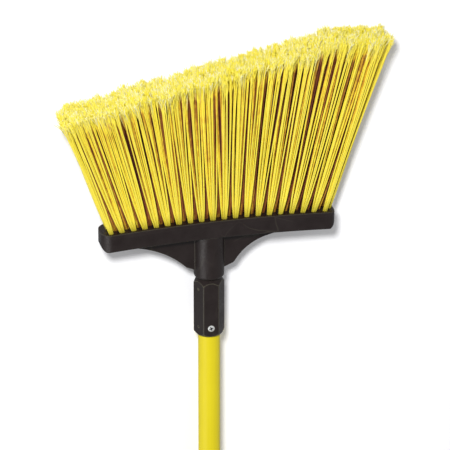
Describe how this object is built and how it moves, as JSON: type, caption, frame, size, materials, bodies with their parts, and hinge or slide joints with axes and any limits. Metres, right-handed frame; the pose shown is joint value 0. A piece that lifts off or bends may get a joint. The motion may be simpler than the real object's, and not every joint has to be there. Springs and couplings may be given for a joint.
{
  "type": "push broom",
  "caption": "Upright angle broom: crowned moulded head with fanned, slant-cut bristle tufts, hexagonal screw-in collar, tube handle and swivelling hanging loop.",
  "frame": {"origin": "centre of the hanging loop's hole, on the handle's axis", "axes": "+Y along the handle from the loop to the bristles, +X towards the long-bristle side, +Z out of the head's broad front face; the broom lies on its back"},
  "size_m": [0.3415, 1.4665, 0.0506],
  "materials": {
    "moulded_black": "satin moulded polypropylene with faint flow marks and scuffs",
    "bristle": "drawn polymer filament, flagged and pale at the tips",
    "zinc_steel": "bright zinc-plated steel",
    "coated_yellow": "glossy yellow coating on a thin steel tube"
  },
  "bodies": {
    "head": {"head_block": "moulded_black", "socket_thread": "moulded_black", "tuft_row_1": "bristle", "tuft_row_2": "bristle", "tuft_row_3": "bristle", "tuft_row_4": "bristle", "wire_anchors_1": "zinc_steel", "wire_anchors_2": "zinc_steel", "wire_anchors_3": "zinc_steel", "wire_anchors_4": "zinc_steel"},
    "washer": {"swivel_washer": "zinc_steel"},
    "handle": {"handle_tube": "coated_yellow", "hex_collar": "moulded_black", "spigot_thread": "moulded_black", "collar_screw": "zinc_steel", "end_plug": "moulded_black"},
    "loop": {"hang_loop": "moulded_black", "stem_clip": "zinc_steel"}
  },
  "joints": [
    {"name": "unscrew_travel", "type": "slide", "parent": "head", "child": "washer", "axis": [0, -1, 0], "range_m": [0, 0.03048]},
    {"name": "handle_turn", "type": "hinge", "parent": "washer", "child": "handle", "pos_m": [0, 0, 0], "axis": [0, -1, 0], "range_deg": [0, 2160]},
    {"name": "loop_swivel", "type": "hinge", "parent": "handle", "child": "loop", "pos_m": [0, 0, 0], "axis": [0, -1, 0], "continuous": true}
  ],
  "couplings": [
    {"joint": "unscrew_travel", "follows": "handle_turn", "m_per_rad": 0.00080851}
  ]
}
